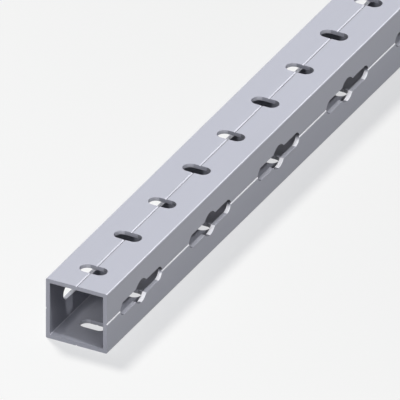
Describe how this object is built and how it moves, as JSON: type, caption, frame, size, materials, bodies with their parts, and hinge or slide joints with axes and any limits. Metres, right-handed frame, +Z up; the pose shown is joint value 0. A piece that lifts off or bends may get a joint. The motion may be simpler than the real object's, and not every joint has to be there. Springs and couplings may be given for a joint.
{
  "type": "square aluminium tube",
  "caption": "Thin-walled square aluminium tube with a fine centre-line groove on each outside face, slots across the top and bottom walls and keyholes along the side walls.",
  "frame": {"origin": "under the middle of the tube, at the bottom face it lies on", "axes": "+Y along the tube, from the end seen in the picture to the far end; +X across it, to the right seen from that end; +Z up"},
  "size_m": [0.0234, 0.5, 0.0235],
  "materials": {
    "anodised_aluminium": "satin clear anodised, with fine lines along the extrusion"
  },
  "bodies": {
    "root": {"square_tube": "anodised_aluminium"}
  },
  "joints": []
}
